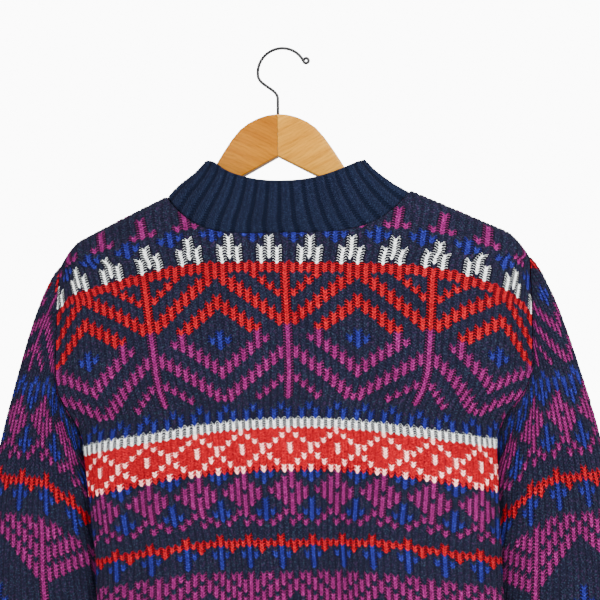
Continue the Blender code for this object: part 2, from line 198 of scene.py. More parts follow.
hook = build_hook()
hook.data.materials.append(dark_wire)
give(hook, "hook")


# --- Wooden hanger ------------------------------------------------------------------------
# Two curved boards of beech, cut from different planks and glued at the middle; the left one is
# coloured darker, as painted shade. Each is
# shaped on a moulder with soft edges, sanded, and dipped in a clear satin varnish.
JOINT_GAP = 0.0003
HANGER_THICK, HANGER_EDGE = 0.012, 0.0030
CONTOUR, CONTOUR_X = 0.036, 0.21  # the shoulders come forward by CONTOUR at CONTOUR_X
WOOD_COLUMNS, WOOD_LINES = 56, 4
# Distance from the middle, top edge, bottom edge
WOOD_SECTIONS = np.array((
    (0.000, -0.0680, -0.1118),
    (0.010, -0.0689, -0.1171),
    (0.020, -0.0718, -0.1224),
    (0.030, -0.0766, -0.1277),
    (0.039, -0.0832, -0.1323),
    (0.047, -0.0925, -0.1362),
    (0.055, -0.1040, -0.1398),
    (0.063, -0.1165, -0.1432),
    (0.071, -0.1300, -0.1470),
    (0.080, -0.1400, -0.1514),
    (0.092, -0.1475, -0.1574),
    (0.110, -0.1555, -0.1660),
    (0.140, -0.1675, -0.1800),
    (0.170, -0.1790, -0.1930),
    (0.200, -0.1907, -0.2055),
    (0.218, -0.1990, -0.2125),
    (0.225, -0.2050, -0.2120),
))
# Share of the board's columns, and how far out they stand: they are closer near the middle
COLUMN_SHARES, COLUMN_REACH = (0.0, 0.35, 1.0), (-0.004, 0.08, 0.225)


def contour(x):
    return CONTOUR * (x / CONTOUR_X) ** 2


def set_points(obj, points):
    obj.data.vertices.foreach_set("co", np.asarray(points, np.float32).ravel())
    obj.data.update()


def get_points(obj):
    points = np.empty(len(obj.data.vertices) * 3, np.float32)
    obj.data.vertices.foreach_get("co", points)
    return points.reshape(-1, 3).astype(float)


def flat_grid(columns, lines):
    """A flat grid to be shaped, with the column and the line that each of its points is in."""
    bpy.ops.object.select_all(action="DESELECT")
    bpy.ops.mesh.primitive_grid_add(x_subdivisions=columns, y_subdivisions=lines, size=2)
    grid = bpy.context.object
    points = get_points(grid)
    column = np.rint((points[:, 0] + 1) / 2 * columns).astype(int)
    line = np.rint((1 - points[:, 1]) / 2 * lines).astype(int)
    return grid, column, line


def build_board(side, name):
    board, column, line = flat_grid(WOOD_COLUMNS, WOOD_LINES)
    reach = np.interp(column / WOOD_COLUMNS, COLUMN_SHARES, COLUMN_REACH)
    top = np.interp(reach, WOOD_SECTIONS[:, 0], WOOD_SECTIONS[:, 1])
    bottom = np.interp(reach, WOOD_SECTIONS[:, 0], WOOD_SECTIONS[:, 2])
    x = HANGER_X + side * (reach + JOINT_GAP / 2)
    z = bottom + (top - bottom) * (1 - line / WOOD_LINES)
    set_points(board, np.stack((x, contour(x), z), axis=-1))
    only(board)
    if side < 0:
        board.data.flip_normals()
    thick = board.modifiers.new("thickness", "SOLIDIFY")
    thick.thickness, thick.offset = HANGER_THICK, 0.0
    soft = board.modifiers.new("soft_edges", "BEVEL")
    soft.width, soft.segments, soft.limit_method = HANGER_EDGE, 4, "ANGLE"
    soft.angle_limit = math.radians(50)
    for modifier in list(board.modifiers):
        bpy.ops.object.modifier_apply(modifier=modifier.name)
    points = get_points(board)
    joint = HANGER_X + side * JOINT_GAP / 2  # sawn off flat at the joint
    points[:, 0] = side * np.maximum(side * points[:, 0], side * joint)
    set_points(board, hang(points))
    bpy.ops.object.shade_smooth_by_angle(angle=math.radians(35))
    board.name = name
    return board


def grain_group():
    """Wood grain in the object's own coordinates. Rings gives the growth lines, Pores the
    short dark dashes, Figure the broad light and dark areas."""
    group = bpy.data.node_groups.new("wood_grain", "ShaderNodeTree")
    group.interface.new_socket("Vector", in_out="INPUT", socket_type="NodeSocketVector")
    for name in ("Rings", "Pores", "Figure"):
        group.interface.new_socket(name, in_out="OUTPUT", socket_type="NodeSocketFloat")
    vector = node(group, "NodeGroupInput", -900).outputs["Vector"]
    bend = node(group, "ShaderNodeTexNoise", -700, -250, {
        "Vector": vector, "Scale": 9.0, "Detail": 2.0,
    })
    shifted = node(group, "ShaderNodeVectorMath", -480, -100, {
        0: bend.outputs["Color"], 1: (0.0, 0.028, 0.028), 2: vector,
    }, operation="MULTIPLY_ADD")
    rings = node(group, "ShaderNodeTexWave", -260, 120, {
        "Vector": shifted.outputs["Vector"], "Scale": 78.0, "Distortion": 3.2, "Detail": 3.0,
        "Detail Scale": 1.6,
    }, wave_type="BANDS", bands_direction="Z")
    given = {"Rings": rings.outputs["Fac"]}
    for name, y, stretch, detail in (
        ("Pores", -420, (70.0, 900.0, 1100.0), 2.0), ("Figure", -720, (14.0, 90.0, 130.0), 3.0),
    ):
        along = node(group, "ShaderNodeMapping", -480, y, {"Vector": vector, "Scale": stretch})
        given[name] = node(group, "ShaderNodeTexNoise", -260, y, {
            "Vector": along.outputs["Vector"], "Scale": 1.0, "Detail": detail,
        }).outputs["Fac"]
    node(group, "NodeGroupOutput", 600, 0, given)
    return group


wood_grain = grain_group()


def beech(name, turn, deep, middle, pale):
    """Varnished beech whose grain is turned by an angle about the board's face."""
    material, tree, shader = new_material(name)
    coords = node(tree, "ShaderNodeTexCoord", -1300)
    turned = node(tree, "ShaderNodeMapping", -1100, 0, {
        "Vector": coords.outputs["Object"], "Rotation": (0.0, turn, 0.0),
    })
    grain = node(
        tree, "ShaderNodeGroup", -900, 0, {"Vector": turned.outputs["Vector"]}, node_tree=wood_grain
    ).outputs
    colour = ramp(tree, grain["Figure"], ((0.25, deep), (0.5, middle), (0.75, pale)), -650, 200)
    for part, y, place, dark, full, much in (
        ("Rings", -60, 0.15, 0.86, 0.55, 0.75), ("Pores", -320, 0.34, 0.62, 0.46, 0.6),
    ):
        lines = ramp(tree, grain[part], ((place, (dark,) * 3), (full, (1.0,) * 3)), -650, y)
        mixed = {"Factor": much, "A": colour, "B": lines}
        colour = node(
            tree, "ShaderNodeMix", -350, y + 160, mixed, data_type="RGBA", blend_type="MULTIPLY"
        ).outputs["Result"]
    bump = node(tree, "ShaderNodeBump", -180, -300, {
        "Height": grain["Pores"], "Strength": 0.10, "Distance": 0.0003,
    })
    set_inputs(tree, shader, {
        "Base Color": colour, "Normal": bump.outputs["Normal"], "Roughness": 0.34,
        "Specular IOR Level": 0.06, "Coat Weight": 0.05, "Coat Roughness": 0.22,
    })
    return material


# The left board is coloured darker than the right one: painted shade, for the side turned from the
# light.
BEECH_LEFT_SHADED = ((0.195, 0.060, 0.0008), (0.235, 0.080, 0.0012), (0.28, 0.105, 0.0025))
BEECH_RIGHT = ((0.28, 0.108, 0.0040), (0.335, 0.140, 0.0070), (0.40, 0.182, 0.0130))
for side, place, turn, colours in (
    (-1, "left", math.radians(-24), BEECH_LEFT_SHADED), (1, "right", math.radians(27), BEECH_RIGHT),
):
    board = build_board(side, f"beech_board_{place}")
    board.data.materials.append(beech(f"beech_{place}", turn, *colours))
    give(board, f"hanger_{place}")


# --- Back and front -----------------------------------------------------------------------
# Two flat pieces of stranded knitting in thick wool, navy with red, magenta, blue and white.
# The yarn that isn't in use runs loose across the inside. Sewn at the shoulders and sides.
SEAM = 0.0003
WALES = 65
SPINE = 32  # wale that carries the middle stem of the wide band
FIRST_ROW, LAST_ROW = -20, 87
GARMENT_X = 0.004  # and the jumper's middle a little right of it
NECK_X, NECK_Z = 0.127, -0.148  # where the neck meets the shoulder seam
BACK_NECK_DROP, FRONT_NECK_DROP = 0.0455, 0.085
SHOULDER_SLOPE, HANGER_TIP_X, DROOP = 0.411, 0.2236, 26.0
FOLD_RADIUS = 0.013  # of the cloth where it lies over the shoulder
UNDERARM_Z, ARMHOLE_CLOSE = -0.405, 0.05  # the sides close over this height above the underarm
HEM_SEAM_Z, HEM_Z = -0.712, -0.775
ROW_ARCH, HEM_ARCH = 0.024, 0.012
BACK_DEPTH, FRONT_DEPTH, DEPTH_LENGTH = 0.038, 0.043, 0.08
SIDE_ROUNDING = 0.36
# Height, half width at the wearer's right, and how much wider the left is, from the hem up
BODY_SECTIONS = np.array((
    (HEM_Z, 0.2065, -0.0080),
    (HEM_SEAM_Z, 0.2130, -0.0090),
    (-0.620, 0.2165, -0.0100),
    (-0.530, 0.2145, -0.0060),
    (-0.450, 0.2120, 0.0060),
    (-0.405, 0.2110, 0.0125),
    (-0.388, 0.2150, 0.0115),
    (-0.370, 0.2275, 0.0080),
    (-0.352, 0.2410, 0.0040),
    (-0.335, 0.2470, 0.0012),
    (-0.300, 0.2485, 0.0000),
))
# Row and how far it lies below the first red row, at the middle
ROW_LINES = np.array((
    (-22, -0.1190),
    (0, 0.0),
    (2, 0.0084),
    (28, 0.1558),
    (30, 0.1648),
    (37, 0.2026),
    (38, 0.2094),
    (51, 0.2765),
    (57, 0.3080),
    (87, 0.4753),
))
TOP_ROW_Z = -0.2247
# Row and how much the row drops from the middle to ARCH_X
ROW_ARCHES = np.array((
    (-22, 0.0190),
    (0, 0.0205),
    (28, 0.0220),
    (50, 0.0262),
    (70, 0.020),
    (87, HEM_ARCH),
))
ARCH_X, SLANT = 0.213, 0.0052
# Panel, place at the top and at the bottom, start height, half width, depth
FOLDS = (
    (-1, 0.046, 0.050, -0.40, 0.030, 0.010),
    (-1, -0.160, -0.165, -0.38, 0.026, 0.007),
    (-1, -0.062, -0.070, -0.52, 0.034, 0.004),
    (1, -0.050, -0.058, -0.36, 0.034, 0.009),
    (1, 0.090, 0.104, -0.42, 0.030, 0.007),
    (1, -0.150, -0.158, -0.50, 0.028, 0.005),
)
NAVY, RED, MAGENTA, BLUE, WHITE, BLUSHED, RIB_NAVY = range(7)
PLY = (0.0, 0.16, 0.34, 0.5, 0.66, 0.84)  # lines along one stitch: valley, leg, leg, middle
PLY_HEIGHT = np.array(((-0.15, 0.55, 0.72, 0.42, 0.72, 0.55), (-0.15, 0.80, 1.0, 0.60, 1.0, 0.80)))
# How many stitches' width the wales are pulled to the right, as the body hangs unevenly:
# a line for each row in PULLED_ROWS, at the wales in PULLED_WALES
PULLED_WALES = (0, 5.5, 12.5, 19.5, 25.5, 32.5, 39.5, 45.5, 52.5, 59.5, 65)
PULLED_ROWS = (-11, -3, 2, 24, 34, 43, 51, 87)
PULL = np.array((
    (-0.4, -4.4, -3.8, -2.0, -0.9, 0.1, 0.9, 1.9, 3.3, 4.2, 0.4),
    (-0.2, -2.6, -2.2, -0.75, -0.25, 0.1, 0.45, 0.95, 1.95, 2.8, 0.2),
    (0, -1.4, -1.4, -0.7, -0.15, 0.0, 0.3, 0.8, 1.45, 2.0, 0),
    (0, 0.6, 1.3, 1.25, 1.0, 0.75, 0.6, 0.45, 0.4, 0.5, 0),
    (0, -0.7, 1.0, 1.9, 1.45, 1.5, 1.3, 0.95, 1.05, 1.2, 0),
    (0, -0.5, 0.75, 1.7, 1.3, 1.25, 0.6, 0.1, 0.15, 0.8, 0),
    (0, -0.4, 1.4, 2.3, 1.2, 0.9, 0.0, -0.85, -0.6, 0.0, 0),
    (0, -0.2, 0.8, 1.3, 0.8, 0.5, 0.0, -0.5, -0.4, 0.0, 0),
))
# Millimetres that the rows sag at places across the back: a line for each row in SAGGED_ROWS
SAGGED_X = (-0.21, -0.17, -0.13, -0.09, -0.045, 0, 0.045, 0.09, 0.13, 0.17, 0.21, 0.235)
SAGGED_ROWS = (-20, -6, 0, 8, 15, 23, 29, 34, 44, 51, 60, 87)
SAG = np.array((
    (0, 0, -2, -3, -1, 0, 0, -1, -2, 0, 0, 2),
    (-1, -3, -5, -6, -3, 0, 0, -1.5, -3.5, -3, 3, 9),
    (-1.5, -3, -5.5, -6, -3, 0, 0, -1.5, -3.5, -3, 3, 9),
    (-1, -2, -1.5, 0, 0.5, 2.5, 2.5, 0, 0, 0, 2, 6),
    (1, 2, 1, 0, 2.5, 2, 1, 2, 2.5, 3, 3, 4),
    (3, 5, 3, 2, 3, 2.5, 2, 2, 4, 5, 4.5, 4.5),
    (3.5, 4, 5, 2.5, 1, 0, 0, 2, 3.5, 4, 3.5, 3.5),
    (3, 3, 1, -1, -2, -2.5, -2.5, -1, 1, 2.5, 2, 2),
    (1, 1, 0, 0, 0, -0.5, -1, -1, 1, 2, 2, 2),
    (0, 0, 0, -2, -1.5, 0, -0.5, -3, -1, 0, 0, 0),
    (1, 2, -1, -1.5, 1, 0, -1, 0, 1, 2, 2, 2),
    (0, 0, 0, 0, 0, 0, 0, 0, 0, 0, 0, 0),
)) / 1000
V_DEPTH, V_LEVEL = 0.50, -0.3  # how far the middle of a stitch hangs below its top, in rows
RELIEF, MIDDLE_HEIGHT = 0.0012, 0.62
WHITE_HEIGHT = 0.18  # the white yarn is plumper and stands this much higher
LEAN, SLIP, PLUMP = 0.035, 0.05, 0.10  # unevenness of the stitches: across, down, in height
FLOAT_DEPTH, FLOAT_WAVE = 0.0030, 0.0003


def smooth(share):
    share = np.clip(share, 0.0, 1.0)
    return share * share * (3 - 2 * share)


def half_width(z, side):
    extra = np.interp(z, BODY_SECTIONS[:, 0], BODY_SECTIONS[:, 2])
    return np.interp(z, BODY_SECTIONS[:, 0], BODY_SECTIONS[:, 1]) + np.where(side < 0, extra, 0.0)


def shoulder_z(x):
    x = np.abs(x)
    return NECK_Z - SHOULDER_SLOPE * (x - NECK_X) - DROOP * np.maximum(x - HANGER_TIP_X, 0.0) ** 2


def neck_z(x, side):
    drop, power = (BACK_NECK_DROP, 4.0) if side < 0 else (FRONT_NECK_DROP, 2.6)
    return NECK_Z - drop * (1 - (np.abs(x) / NECK_X) ** power)


def panel_offset(side, share, z):
    """Distance of a panel from the middle surface of the body."""
    closed = 1 - smooth((z - (UNDERARM_Z + ROW_ARCH * (1 - share**2))) / ARMHOLE_CLOSE)
    x = share * half_width(z, share)
    below = np.maximum(shoulder_z(x) - z, 0.0)
    full = BACK_DEPTH if side < 0 else FRONT_DEPTH
    over = 1 - np.minimum(below, FOLD_RADIUS) / FOLD_RADIUS
    fuller = 1 - np.exp(-np.maximum(below - FOLD_RADIUS, 0.0) / DEPTH_LENGTH)
    depth = FOLD_RADIUS * np.sqrt(np.maximum(1 - over**2, 0.0)) + (full - FOLD_RADIUS) * fuller
    rounded = np.maximum(1 - share**2, 0.0) ** SIDE_ROUNDING
    offset = depth * (1 - closed + closed * rounded)
    for panel, x_top, x_bottom, z_top, half, deep in FOLDS:
        if panel != side:
            continue
        down = np.maximum(z_top - z, 0.0) / (z_top - HEM_Z)
        across = np.minimum(np.abs(x - x_top - (x_bottom - x_top) * down) / half, 1.0)
        offset = offset - deep * smooth(down * 3) * 0.5 * (1 + np.cos(math.pi * across)) * rounded
    return np.maximum(offset, 0.0)


def look_up(table, across, down):
    """Value between the columns and rows of a table, at places given from 0 to 1."""
    rows, columns = table.shape
    i = np.clip(across, 0.0, 1.0) * (columns - 1)
    j = np.clip(down, 0.0, 1.0) * (rows - 1)
    i0, j0 = np.minimum(i.astype(int), columns - 2), np.minimum(j.astype(int), rows - 2)
    u, v = i - i0, j - j0
    upper = table[j0, i0] * (1 - u) + table[j0, i0 + 1] * u
    lower = table[j0 + 1, i0] * (1 - u) + table[j0 + 1, i0 + 1] * u
    return upper * (1 - v) + lower * v


def level_in(rows, row):
    """Place of a row among the given rows, from 0 to 1."""
    return np.interp(row, rows, np.linspace(0.0, 1.0, len(rows)))


def row_height(row, x):
    """Height of a knitted row at x: rows arch over the back and droop past the hanger's end."""
    middle = TOP_ROW_Z - np.interp(row, ROW_LINES[:, 0], ROW_LINES[:, 1])
    arch = np.interp(row, ROW_ARCHES[:, 0], ROW_ARCHES[:, 1]) * (x / ARCH_X) ** 2
    droop = DROOP * np.maximum(np.abs(x) - HANGER_TIP_X, 0.0) ** 2 * np.clip(1 - row / 34, 0, 1)
    slant = SLANT * x * smooth((LAST_ROW - row) / 30)
    sag = look_up(SAG, level_in(SAGGED_X, x), level_in(SAGGED_ROWS, row))
    return middle - arch - droop + slant - sag


def evened(points, shares, count=161):
    """Shares that split each row of points into equal lengths, one table row for each."""
    steps = np.sqrt((np.diff(points, axis=1) ** 2).sum(axis=2))
    table = []
    for row in steps:
        reached = np.concatenate(((0.0,), np.cumsum(row)))
        table.append(np.interp(np.linspace(0.0, 1.0, count), reached / reached[-1], shares))
    return np.array(table)


fine_wales = np.linspace(-2, WALES + 2, 2 * WALES + 9)
pulled = [np.interp(fine_wales, PULLED_WALES, line) for line in PULL]
pulled = np.array([np.convolve(line, np.full(9, 1 / 9), "same")[4:-4] for line in pulled])
PANEL_TOP, PANEL_BOTTOM = -0.14, -0.72


def wale_table(side):
    shares = np.sin(np.linspace(-1, 1, 241) * math.pi / 2)
    lines = []
    for z in np.linspace(PANEL_TOP, PANEL_BOTTOM, 88):
        x = shares * half_width(z, shares)
        y = 0.8 * side * panel_offset(side, shares, np.full_like(shares, z))
        lines.append(np.stack((x, y), axis=-1))
    return evened(np.array(lines), shares)


def panel_place(side, table):
    """Gives the function that puts a wale and a row of knitting on the panel."""

    def place(wale, row, inset=0.0):
        even = (wale + look_up(pulled, wale / WALES, level_in(PULLED_ROWS, row))) / WALES
        x = (even * 2 - 1) * 0.22
        for _ in range(5):
            z = row_height(row, x)
            level = (PANEL_TOP - z) / (PANEL_TOP - PANEL_BOTTOM)
            share = look_up(table, even, level)
            x = share * half_width(z, share)
        ridge = shoulder_z(x) - inset
        radius = FOLD_RADIUS - inset
        turn = np.clip((z - ridge + radius) / radius, 0.0, math.pi / 2)
        gone = (z - ridge + radius) / radius > math.pi / 2
        z = np.where(turn > 0, ridge - radius + radius * np.sin(turn), z)
        neck = np.where(np.abs(x) < NECK_X, neck_z(x, side), 1.0)
        hem = HEM_SEAM_Z + HEM_ARCH * (1 - share**2)
        gone = np.where(gone | (z >= neck), 1, 0) + np.where(z <= hem, 2, 0)
        z = np.clip(z, hem, neck)
        x = share * half_width(z, share)
        step = 0.0004
        low = z - step
        offset = panel_offset(side, share, z)
        slope_z = (offset - panel_offset(side, share, low)) / step
        inner = np.clip(share, -0.995, 0.995)
        width = half_width(z, share)
        beside = panel_offset(side, inner + 0.002, z) - panel_offset(side, inner - 0.002, z)
        slope_x = beside / (0.004 * width) + side * 2 * CONTOUR * (GARMENT_X + x) / CONTOUR_X**2
        normal = np.stack((-slope_x, np.full_like(x, side), -slope_z), axis=-1)
        normal /= np.linalg.norm(normal, axis=-1, keepdims=True)
        y = contour(GARMENT_X + x) + side * (offset + SEAM / 2)
        return np.stack((GARMENT_X + x, y, z), axis=-1), normal, gone

    return place


DIAMOND_ROWS = {  # white stitches on red, seven stitches wide
    30: (0,), 31: (-1, 1), 32: (-2, 2), 33: (-3, 3, 0), 34: (3, 0), 35: (-3, 2), 36: (-2, 1),
    37: (-1, 0, 3),
}
FLOWER_ROWS = {  # magenta stitches on navy, on the same centres
    38: (0,), 39: (-1, 0), 40: (-2, -1, 0, 1), 41: (-3, -2, -1, 1, 2), 42: (-2, -1, 0, 1, 2),
    43: (-1, 0, 1), 44: (0,), 45: (-1, 0), 46: (-2, 1), 47: (-3, 0, 2),
}


def yoke_yarn(column, row):
    crown, cross = (column + 2) % 5, (column - 1) % 5
    if (crown == 0 and -5 <= row <= -2) or (crown in (1, 4) and -3 <= row <= -1):
        return WHITE
    if (cross == 0 and -7 <= row <= -5) or (cross in (1, 4) and row == -6):
        return BLUE
    if (crown == 0 and -11 <= row <= -8) or (crown in (1, 4) and row == -8):
        return MAGENTA
    if crown in (2, 3) and row == -14 and abs(column) > 17:
        return MAGENTA
    return NAVY


def wide_band_yarn(column, row):
    """Stems every 18 stitches with diamonds between them, red above and magenta below."""
    stem = min(column % 18, 18 - column % 18)
    middle = 9 - stem
    if row <= 1:
        return RED
    if stem == 0 and row <= 23:
        return RED if row <= 10 else MAGENTA
    if row in (10 - stem, 11 - stem) or (1 <= stem <= 4 and row == 6 - stem):
        return RED
    if middle <= 4 and row in (6 + middle, 7 + middle) or (middle == 5 and row == 11):
        return RED
    if middle == 5 and 12 <= row <= 14 or middle == 6 and row == 13:
        return MAGENTA
    if middle <= 4 and row in (18 - middle, 19 - middle):
        return MAGENTA
    if middle == 0 and 12 <= row <= 14 or middle == 1 and row == 13:
        return BLUE
    if 1 <= stem <= 8 and row in (14 + stem, 15 + stem) or stem == 9 and row == 23:
        return MAGENTA
    if 1 <= stem <= 4 and row == 19 + stem:
        return MAGENTA
    if (column + 1) % 4 == 0 and row == 25 or (column + 1) % 4 in (1, 3) and row in (26, 27):
        return BLUE
    return NAVY


def low_band_yarn(column, row):
    """Nested magenta arrows on stems every 14 stitches, mirrored from above to below."""
    stem = (column + 7) % 14
    stem = min(stem, 14 - stem)
    row = min(row, 141 - row)
    if stem == 0 or row + stem in (59, 60, 62, 63, 65, 66):
        return MAGENTA
    if (stem == 7 and row >= 68) or (stem == 6 and row == 70):
        return BLUE
    return NAVY


def body_yarn(column, row):
    """Yarn of the stitch at a column, counted from the middle stem, and a row."""
    seven = (column + 3) % 7 - 3
    if row < 0:
        return yoke_yarn(column, row)
    if row < 28:
        return wide_band_yarn(column, row)
    if row < 30:
        return WHITE
    if row < 38:
        return BLUSHED if seven in DIAMOND_ROWS[row] else RED
    if row < 50:
        if seven in FLOWER_ROWS.get(row, ()):
            return MAGENTA
        side_dots = row == 38 and seven in (2, 3, -3) or row == 39 and seven == 3
        lower_cross = 43 <= row <= 46 and seven == 3 or row == 45 and seven in (2, -3)
        return BLUE if side_dots or lower_cross else NAVY
    if row < 57:
        peak = (column + 2) % 5
        if row == 51 or row == 50 and peak == 0 or row == 52 and peak == 2:
            return RED
        if 52 <= row <= 55 and peak == 0 or row == 53 and peak in (1, 4):
            return BLUE
        return NAVY
    if row < 85:
        return low_band_yarn(column, row)
    return NAVY


def chart_of(yarn_of, wales, rows):
    """Yarn numbers of a piece, a line for each row and a column for each wale."""
    columns = range(-SPINE, wales + 1 - SPINE)
    return np.array([[yarn_of(c, r) for c in columns] for r in range(rows[0], rows[1] + 1)])


def knit(name, wales, rows, place, yarn_of, seed):
    """Right side of a piece of stocking stitch. Each stitch is a V of two raised legs, with
    a valley to its neighbours. place puts wale and row numbers on the piece's surface."""
    first, last = rows
    sheet, column, line = flat_grid(wales * len(PLY), (last - first) * 2)
    station, level = column % len(PLY), line % 2
    stitch, course = column // len(PLY), line // 2
    part = np.array(PLY)[station]
    chart = chart_of(yarn_of, wales, rows)
    yarn = chart[np.minimum(course, last - first), np.minimum(stitch, wales)]
    rng = np.random.default_rng(seed)
    lean, slip, plump = (
        rng.normal(0.0, much, chart.shape)[course, stitch] for much in (LEAN, SLIP, PLUMP)
    )
    wale = stitch + part + np.where(station > 0, lean, 0.0)
    middle = 1 - np.abs(2 * part - 1)
    row = first + course + level * 0.5
    lowered = row + V_LEVEL + V_DEPTH * middle + np.where(station > 0, slip, 0.0)
    height = PLY_HEIGHT[level, station] * (1 + plump) + np.where(yarn == WHITE, WHITE_HEIGHT, 0.0)
    points, normals, gone = place(wale, lowered)
    lift = np.where(gone > 0, -0.2, height - MIDDLE_HEIGHT) * RELIEF
    set_points(sheet, hang(points + normals * lift[:, None]))
    finish_knit(sheet, name, wale, row, gone, stitch, course, chart, station)
    return sheet


def number_yarns(mesh, own, above, below, beside, depth):
    """Yarn numbers of each face's stitch and of the stitches round it, and how deep the
    valleys between the wales are and how much painted shade darkens them."""
    for name, numbers in (
        ("yarn", own), ("yarn_above", above), ("yarn_below", below), ("yarn_beside", beside),
        ("valley_depth_and_shade", depth),
    ):
        layer = mesh.attributes.new(name, "FLOAT", "FACE")
        layer.data.foreach_set("value", np.asarray(numbers, np.float32))


def valley_depth_and_shade(yarn, row):
    """How deep the valleys beside a stitch are and how much painted shade darkens them: deepest in
    the white rows.
    """
    kinds = (
        yarn == BLUSHED, yarn == NAVY, yarn == MAGENTA,
        (yarn == WHITE) & (row < 20), yarn == WHITE, (row > 29) & (row < 37.5),
    )
    return np.select(kinds, (1.1, 0.6, 1.1, 1.7, 1.45, 0.3), 1.0)


def lay_stitches(mesh, wale, row):
    """Lays the stitches out in the UV map. Gives the point at each corner of the faces."""
    corners = np.empty(len(mesh.loops), np.int32)
    mesh.loops.foreach_get("vertex_index", corners)
    uv = mesh.uv_layers.active or mesh.uv_layers.new(name="stitches")
    uv.name = "stitches"
    laid = np.stack((wale[corners], row[corners]), axis=-1)
    uv.data.foreach_set("uv", laid.astype(np.float32).ravel())
    return corners


def finish_knit(sheet, name, wale, row, gone, stitch, course, chart, station=None):
    """Numbers the yarns, lays the stitches out and cuts off what lies past the piece's edges."""
    mesh = sheet.data
    quads = lay_stitches(mesh, wale, row).reshape(-1, 4)
    last_row, last_wale = chart.shape[0] - 1, chart.shape[1] - 1
    x = np.minimum(stitch[quads].min(axis=1), last_wale)
    y = np.minimum(course[quads].min(axis=1), last_row)
    own = chart[y, x]
    if station is None:
        # On the inside the valleys get a middling painted shade.
        number_yarns(mesh, own, own, own, own, np.full(len(own), 0.5))
    else:
        step = np.where(station[quads].max(axis=1) * 2 > len(PLY), 1, -1)
        around = (
            chart[np.maximum(y - 1, 0), x], chart[np.minimum(y + 1, last_row), x],
            chart[y, np.clip(x + step, 0, last_wale)],
        )
        above, below, beside = (np.where(n == BLUSHED, own, n) for n in around)
        level = row[quads].min(axis=1)
        # How deep the valleys are and how much painted shade darkens them.
        depth = np.maximum(valley_depth_and_shade(own, level), valley_depth_and_shade(beside, level))
        number_yarns(mesh, own, above, below, beside, depth)
    mesh.materials.append(stranded_wool)
    cut = np.bitwise_and.reduce(gone[quads], axis=1) != 0
    only(sheet)
    bpy.ops.object.mode_set(mode="EDIT")
    bpy.ops.mesh.select_mode(type="FACE")
    bpy.ops.object.mode_set(mode="OBJECT")
    mesh.polygons.foreach_set("select", cut)
    bpy.ops.object.mode_set(mode="EDIT")
    if cut.any():
        bpy.ops.mesh.delete(type="FACE")
    bpy.ops.object.mode_set(mode="OBJECT")
    bpy.ops.object.shade_smooth()
    sheet.name = mesh.name = name


def wrong_side(name, wales, rows, place, yarn_of):
    """Inside of stranded knitting: one face for each stitch, in the yarn that runs behind."""
    sheet, stitch, course = flat_grid(wales, rows[1] - rows[0])
    behind = chart_of(yarn_of, wales, rows)
    for line in behind:
        pattern = [yarn for yarn in set(line) if yarn != NAVY]
        if pattern and NAVY in line:
            line[:] = np.where(line == NAVY, pattern[0], NAVY)
    wale, row = stitch.astype(float), rows[0] + course.astype(float)
    points, normals, gone = place(wale, row)
    depth = FLOAT_DEPTH + FLOAT_WAVE * np.where(course % 2 == 0, 1.0, -1.0)
    set_points(sheet, hang(points - normals * depth[:, None]))
    finish_knit(sheet, name, wale, row, gone, stitch, course, behind)
    sheet.data.flip_normals()
    return sheet


def knit_both_sides(names, solid, wales, rows, place, yarn_of, seed, turned=False):
    """Right side and wrong side of one piece. On the front the mesh is turned to face out."""
    sides = (
        knit(names[0], wales, rows, place, yarn_of, seed),
        wrong_side(names[1], wales, rows, place, yarn_of),
    )
    for piece in sides:
        if turned:
            piece.data.flip_normals()
        give(piece, solid)
    return sides


# Dyed wool, light fleck, dark fleck, shadow between the wales, and how clearly the strands
# show that cross to the next wale; in the order of the yarn numbers
YARNS = (
    ((0.0052, 0.0056, 0.0155), (0.0110, 0.0210, 0.0330), (0.0190, 0.0095, 0.0300),
     (0.0026, 0.0026, 0.0064), 0.80),
    ((0.262, 0.0006, 0.0055), (0.36, 0.0060, 0.0105), (0.170, 0.0005, 0.0055),
     (0.016, 0.0007, 0.0018), 0.95),
    ((0.128, 0.0060, 0.070), (0.195, 0.0200, 0.120), (0.080, 0.0036, 0.046),
     (0.0090, 0.0022, 0.0085), 0.85),
    ((0.0090, 0.0100, 0.112), (0.0170, 0.0270, 0.200), (0.0060, 0.0070, 0.066),
     (0.0024, 0.0022, 0.0110), 0.60),
    ((0.80, 0.84, 0.83), (0.98, 1.0, 0.98), (0.60, 0.63, 0.63),
     (0.0042, 0.0042, 0.0085), 0.80),
    ((1.00, 0.42, 0.38), (1.0, 0.66, 0.62), (0.90, 0.30, 0.28),
     (0.200, 0.0010, 0.0070), 0.45),
    ((0.0046, 0.0074, 0.0205), (0.0100, 0.0165, 0.0320), (0.0075, 0.0090, 0.0260),
     (0.0009, 0.0022, 0.0075), 0.40),
)


